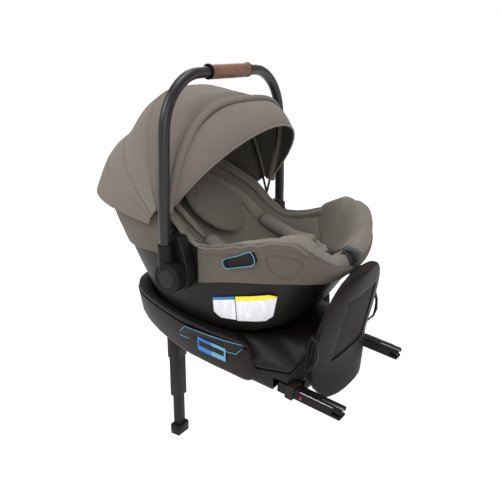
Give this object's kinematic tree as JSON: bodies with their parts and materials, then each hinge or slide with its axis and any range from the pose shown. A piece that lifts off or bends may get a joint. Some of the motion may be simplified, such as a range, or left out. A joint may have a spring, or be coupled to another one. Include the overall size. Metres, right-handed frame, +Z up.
{
  "type": "infant car seat",
  "caption": "Rear-facing infant carrier with swing handle and folding canopy, seated on a base with anchor arms, a rebound panel and a telescoping support leg",
  "frame": {"origin": "A point of the base's flat underside, on the object's middle plane, 218 mm forward of the support leg along X. It is the face that stands on the vehicle seat.", "axes": "+X points to the child's feet and to the anchor arms, which reach into the vehicle's seat back. +Y points to the right side. +Z is up. The base's underside is pitched 8 degrees about Y, so that the anchor arms point a little down."},
  "size_m": [0.6731, 0.4476, 0.9089],
  "materials": {
    "shell_plastic": "moulded, near-black, softly satin",
    "satin_black": "satin near-black plastic",
    "dark_tube": "satin near-black coating",
    "leg_tube": "matt dark grey coating",
    "painted_arm": "satin near-black casing",
    "canopy_cloth": "fine grey-brown woven cloth",
    "side_cloth": "grey-brown melange cloth",
    "insert_cloth": "soft dark grey-brown knit",
    "foam": "cloth-covered energy-absorbing foam",
    "leather": "brown leatherette, stitched along its underside",
    "webbing": "black woven webbing",
    "steel": "plain steel",
    "red": "red plastic button",
    "blue": "blue indicator",
    "grey": "dark grey plastic",
    "white": "white film label with no text",
    "yellow": "white film label with a yellow header and no text",
    "rubber": "black rubber"
  },
  "bodies": {
    "base": {"base_lower_shell": "shell_plastic", "base_cradle": "shell_plastic", "anti_rebound_panel": "shell_plastic", "panel_inset": "grey", "level_bezel": "satin_black", "level_scale": "blue", "leg_hinge_pin": "steel"},
    "carrier": {"carrier_shell": "shell_plastic", "head_cover": "side_cloth", "foot_cover": "side_cloth", "foam_liner": "foam", "body_insert": "insert_cloth", "head_pillow": "insert_cloth", "head_wing_left": "insert_cloth", "head_wing_right": "insert_cloth", "foot_pad": "side_cloth", "shoulder_strap_left": "webbing", "shoulder_strap_right": "webbing", "chest_clip": "shell_plastic", "crotch_strap": "webbing", "buckle": "shell_plastic", "adjuster_strap": "webbing", "belt_guide_left": "shell_plastic", "belt_guide_right": "shell_plastic", "label_plate_white": "white", "label_plate_yellow": "yellow", "hub_bracket_left": "shell_plastic", "hub_bracket_right": "shell_plastic", "canopy_mount_left": "shell_plastic", "canopy_mount_right": "shell_plastic", "canopy_rear_cloth": "canopy_cloth"},
    "handle": {"handle_tube": "dark_tube", "handle_grip": "leather", "handle_hub_left": "satin_black", "handle_hub_right": "satin_black"},
    "hub_button_left": {"hub_button_left": "grey"},
    "hub_button_right": {"hub_button_right": "grey"},
    "canopy_front": {"canopy_front_bow": "satin_black", "canopy_visor": "canopy_cloth", "canopy_front_cloth": "canopy_cloth"},
    "canopy_middle": {"canopy_middle_bow": "satin_black"},
    "carrier_release": {"carrier_release_lever": "satin_black"},
    "buckle_button": {"buckle_button": "red"},
    "adjuster": {"adjuster_lever": "satin_black"},
    "anchor_arm_left": {"anchor_arm_left": "painted_arm"},
    "anchor_arm_right": {"anchor_arm_right": "painted_arm"},
    "anchor_hook_left": {"anchor_hook_left": "steel"},
    "anchor_hook_right": {"anchor_hook_right": "steel"},
    "anchor_release_left": {"anchor_release_left": "satin_black"},
    "anchor_release_right": {"anchor_release_right": "satin_black"},
    "leg_upper": {"leg_housing": "dark_tube"},
    "leg_button": {"leg_button": "grey"},
    "leg_middle": {"leg_middle_tube": "leg_tube"},
    "leg_lower": {"leg_lower_tube": "leg_tube", "leg_foot": "satin_black", "leg_foot_sole": "rubber"},
    "lock_off_left": {"lock_off_lever_left": "satin_black"},
    "lock_off_right": {"lock_off_lever_right": "satin_black"},
    "recline_button": {"recline_button": "grey"}
  },
  "joints": [
    {"name": "carrier_lift", "type": "slide", "parent": "base", "child": "carrier", "axis": [0, 0, 1], "range_m": [0, 0.25]},
    {"name": "handle_swing", "type": "hinge", "parent": "carrier", "child": "handle", "pos_m": [-0.048, 0, 0.1896], "axis": [0, 1, 0], "range_deg": [-80, 90]},
    {"name": "hub_button_left_press", "type": "slide", "parent": "handle", "child": "hub_button_left", "axis": [0, 1, 0], "range_m": [0, 0.0035], "stiffness_N_per_m": 400},
    {"name": "hub_button_right_press", "type": "slide", "parent": "handle", "child": "hub_button_right", "axis": [0, -1, 0], "range_m": [0, 0.0035], "stiffness_N_per_m": 400},
    {"name": "canopy_fold", "type": "hinge", "parent": "carrier", "child": "canopy_middle", "pos_m": [-0.08, 0, 0.2676], "axis": [0, 1, 0], "range_deg": [-41, 0], "deforming": ["canopy_front_cloth", "canopy_rear_cloth"]},
    {"name": "canopy_front_fold", "type": "hinge", "parent": "canopy_middle", "child": "canopy_front", "pos_m": [-0.08, 0, 0.2676], "axis": [0, 1, 0], "range_deg": [-25, 0]},
    {"name": "carrier_release_squeeze", "type": "hinge", "parent": "carrier", "child": "carrier_release", "pos_m": [-0.2926, 0, 0.1773], "axis": [0, 1, 0], "range_deg": [0, 20], "stiffness_Nm_per_rad": 1.5},
    {"name": "buckle_button_press", "type": "slide", "parent": "carrier", "child": "buckle_button", "axis": [0, 0, -1], "range_m": [0, 0.0025], "stiffness_N_per_m": 400},
    {"name": "adjuster_lift", "type": "hinge", "parent": "carrier", "child": "adjuster", "pos_m": [0.187, 0, 0.2208], "axis": [0, 1, 0], "range_deg": [0, 40]},
    {"name": "anchor_arm_left_reach", "type": "slide", "parent": "base", "child": "anchor_arm_left", "axis": [0.9903, 0, -0.1392], "range_m": [-0.01, 0.015]},
    {"name": "anchor_arm_right_reach", "type": "slide", "parent": "base", "child": "anchor_arm_right", "axis": [0.9903, 0, -0.1392], "range_m": [-0.01, 0.015]},
    {"name": "anchor_hook_left_swing", "type": "hinge", "parent": "anchor_arm_left", "child": "anchor_hook_left", "pos_m": [0.25198, -0.14, -0.01774], "axis": [0, -1, 0], "range_deg": [0, 18], "stiffness_Nm_per_rad": 0.8},
    {"name": "anchor_hook_right_swing", "type": "hinge", "parent": "anchor_arm_right", "child": "anchor_hook_right", "pos_m": [0.25198, 0.14, -0.01774], "axis": [0, -1, 0], "range_deg": [0, 18], "stiffness_Nm_per_rad": 0.8},
    {"name": "anchor_release_left_slide", "type": "slide", "parent": "anchor_arm_left", "child": "anchor_release_left", "axis": [0.9903, 0, -0.1392], "range_m": [0, 0.006], "stiffness_N_per_m": 300},
    {"name": "anchor_release_right_slide", "type": "slide", "parent": "anchor_arm_right", "child": "anchor_release_right", "axis": [0.9903, 0, -0.1392], "range_m": [0, 0.006], "stiffness_N_per_m": 300},
    {"name": "leg_fold", "type": "hinge", "parent": "base", "child": "leg_upper", "pos_m": [-0.218, 0, 0.0116], "axis": [0, -1, 0], "range_deg": [0, 82]},
    {"name": "leg_button_press", "type": "slide", "parent": "leg_upper", "child": "leg_button", "axis": [1, 0, 0], "range_m": [0, 0.0018], "stiffness_N_per_m": 400},
    {"name": "leg_middle_slide", "type": "slide", "parent": "leg_upper", "child": "leg_middle", "axis": [0, 0, -1], "range_m": [-0.04, 0.025]},
    {"name": "leg_lower_slide", "type": "slide", "parent": "leg_middle", "child": "leg_lower", "axis": [0, 0, -1], "range_m": [-0.05, 0.025]},
    {"name": "lock_off_left_open", "type": "hinge", "parent": "base", "child": "lock_off_left", "pos_m": [0.2128, -0.1373, 0.0378], "axis": [0, 1, 0], "range_deg": [0, 60]},
    {"name": "lock_off_right_open", "type": "hinge", "parent": "base", "child": "lock_off_right", "pos_m": [0.2128, 0.1373, 0.0378], "axis": [0, 1, 0], "range_deg": [0, 60]},
    {"name": "recline_button_press", "type": "slide", "parent": "base", "child": "recline_button", "axis": [0, 1, 0], "range_m": [0, 0.004], "stiffness_N_per_m": 400}
  ],
  "couplings": [
    {"joint": "canopy_front_fold", "follows": "canopy_fold", "ratio": 0.6}
  ]
}
